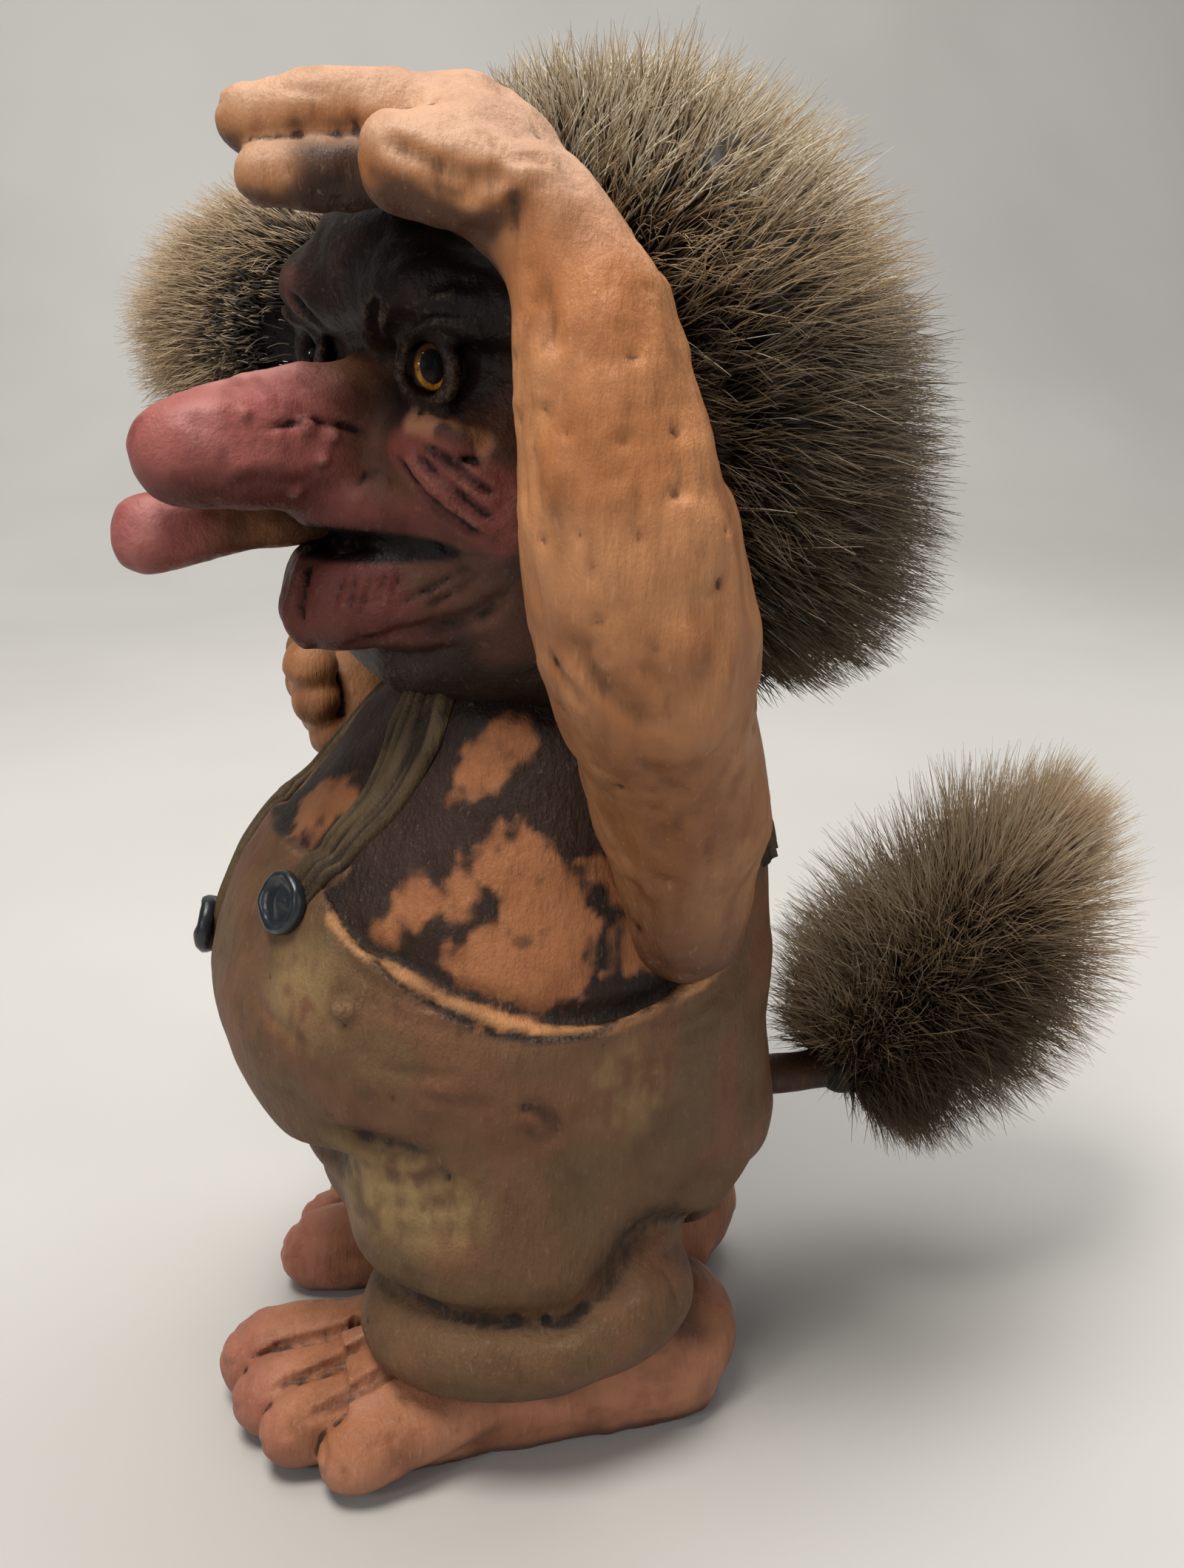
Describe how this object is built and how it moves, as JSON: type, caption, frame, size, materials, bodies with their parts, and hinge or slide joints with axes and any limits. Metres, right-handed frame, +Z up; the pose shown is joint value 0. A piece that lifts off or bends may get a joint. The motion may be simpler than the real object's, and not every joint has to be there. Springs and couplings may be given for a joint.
{
  "type": "troll figure",
  "caption": "Cast rubber folk troll ornament in dungarees, a hand raised to shade its brow, with a long nose, glass eyes, a fur wig and a turning tufted tail.",
  "frame": {"origin": "on the floor under the middle of the whole figure's box", "axes": "+Z up; the troll faces -Y and its own left, the raised arm's side, is +X"},
  "size_m": [0.1676, 0.2214, 0.275],
  "materials": {
    "flesh_rubber": "painted cast rubber, tan with a brown wash",
    "dungaree_rubber": "painted cast rubber, olive brown",
    "strap_rubber": "painted cast rubber, khaki",
    "pink_rubber": "painted cast rubber, dull pink",
    "foam": "soft filling foam",
    "peg_wood": "plain turned peg",
    "eye_glass": "clear polished",
    "iris_paint": "amber iris with a black pupil",
    "steel_wire": "plain wire",
    "button_plastic": "blue-black",
    "black_leather": "black skin side",
    "wig_fur": "long pile, dark roots and beige tips",
    "bush_plastic": "plain",
    "tail_fur": "long pile, dark roots and tan tips"
  },
  "bodies": {
    "figure": {"trunk": "dungaree_rubber", "trunk_filling": "foam", "left_leg": "dungaree_rubber", "right_leg": "dungaree_rubber", "left_foot": "flesh_rubber", "right_foot": "flesh_rubber", "left_ankle_peg": "peg_wood", "right_ankle_peg": "peg_wood", "head": "flesh_rubber", "head_filling": "foam", "neck_peg": "peg_wood", "tongue": "pink_rubber", "left_ear": "flesh_rubber", "right_ear": "flesh_rubber", "left_eye": "eye_glass", "right_eye": "eye_glass", "left_iris": "iris_paint", "right_iris": "iris_paint", "left_eye_wire": "steel_wire", "right_eye_wire": "steel_wire", "left_arm": "flesh_rubber", "right_arm": "flesh_rubber", "left_shoulder_peg": "peg_wood", "right_shoulder_peg": "peg_wood", "left_strap": "strap_rubber", "right_strap": "strap_rubber", "left_button": "button_plastic", "right_button": "button_plastic", "wig_backing": "black_leather", "wig_fur": "wig_fur", "tail_socket": "bush_plastic"},
    "tail": {"tail_stem": "flesh_rubber", "tail_wire": "steel_wire", "tail_wrap": "black_leather", "tail_tuft": "tail_fur"}
  },
  "joints": [
    {"name": "tail_swivel", "type": "hinge", "parent": "figure", "child": "tail", "pos_m": [-0.00433, 0.02216, 0.055], "axis": [0, 1, 0], "range_deg": [-75, 75]}
  ]
}
